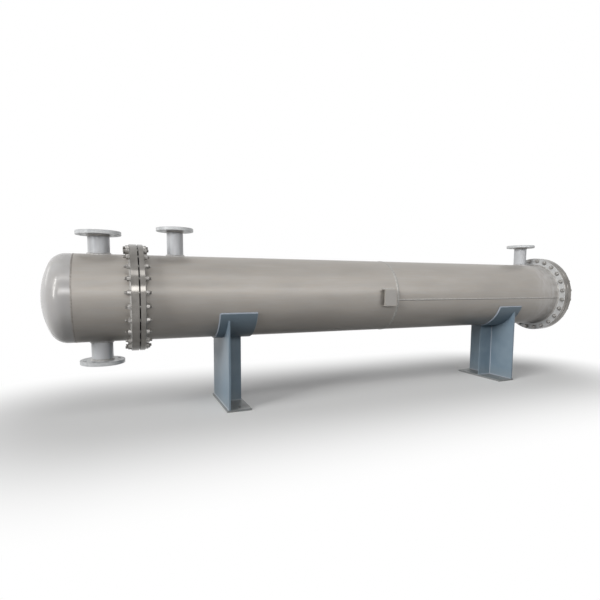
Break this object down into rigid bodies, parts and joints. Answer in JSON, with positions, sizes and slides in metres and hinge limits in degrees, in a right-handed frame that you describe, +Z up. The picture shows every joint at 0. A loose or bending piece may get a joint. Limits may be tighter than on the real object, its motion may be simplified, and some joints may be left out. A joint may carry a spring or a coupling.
{
  "type": "steam generator",
  "caption": "Horizontal shell-and-tube steam generator: a long stainless barrel with a dished channel end, bolted body joints, flanged nozzles and two saddles.",
  "frame": {"origin": "on the floor, under the middle of the vessel's overall length and width", "axes": "+X along the vessel from the dished head to the rear cover, +Y away from the side with the rating plate, +Z up"},
  "size_m": [3.573, 0.5799, 1.031],
  "materials": {
    "stainless_shell": "mill finish, matt",
    "stainless_head": "pressed and polished",
    "machined_stainless": "turned",
    "stainless_pipe": "pickled",
    "forged_stainless": "forged and faced",
    "gasket": "graphite",
    "saddle_paint": "satin primer paint",
    "base_plate_steel": "dusty paint",
    "bracket_sheet": "matt",
    "rating_plate": "satin"
  },
  "bodies": {
    "root": {"channel_head": "stainless_head", "channel_barrel": "stainless_shell", "pass_partition": "stainless_shell", "channel_flange": "machined_stainless", "girth_gasket": "gasket", "tubesheet": "machined_stainless", "shell_front_course": "stainless_shell", "shell_rear_course": "stainless_shell", "rear_flange": "machined_stainless", "rear_gasket": "gasket", "rear_cover": "machined_stainless", "nameplate_bracket": "bracket_sheet", "nameplate": "rating_plate", "channel_top_nozzle_neck": "stainless_pipe", "channel_top_nozzle_flange": "forged_stainless", "channel_bottom_nozzle_neck": "stainless_pipe", "channel_bottom_nozzle_flange": "forged_stainless", "shell_front_nozzle_neck": "stainless_pipe", "shell_front_nozzle_flange": "forged_stainless", "shell_rear_nozzle_neck": "stainless_pipe", "shell_rear_nozzle_flange": "forged_stainless", "front_saddle_base": "base_plate_steel", "front_saddle_web": "saddle_paint", "front_saddle_rib": "saddle_paint", "front_saddle_pad": "saddle_paint", "rear_saddle_base": "base_plate_steel", "rear_saddle_web": "saddle_paint", "rear_saddle_rib": "saddle_paint", "rear_saddle_pad": "saddle_paint"}
  },
  "joints": []
}
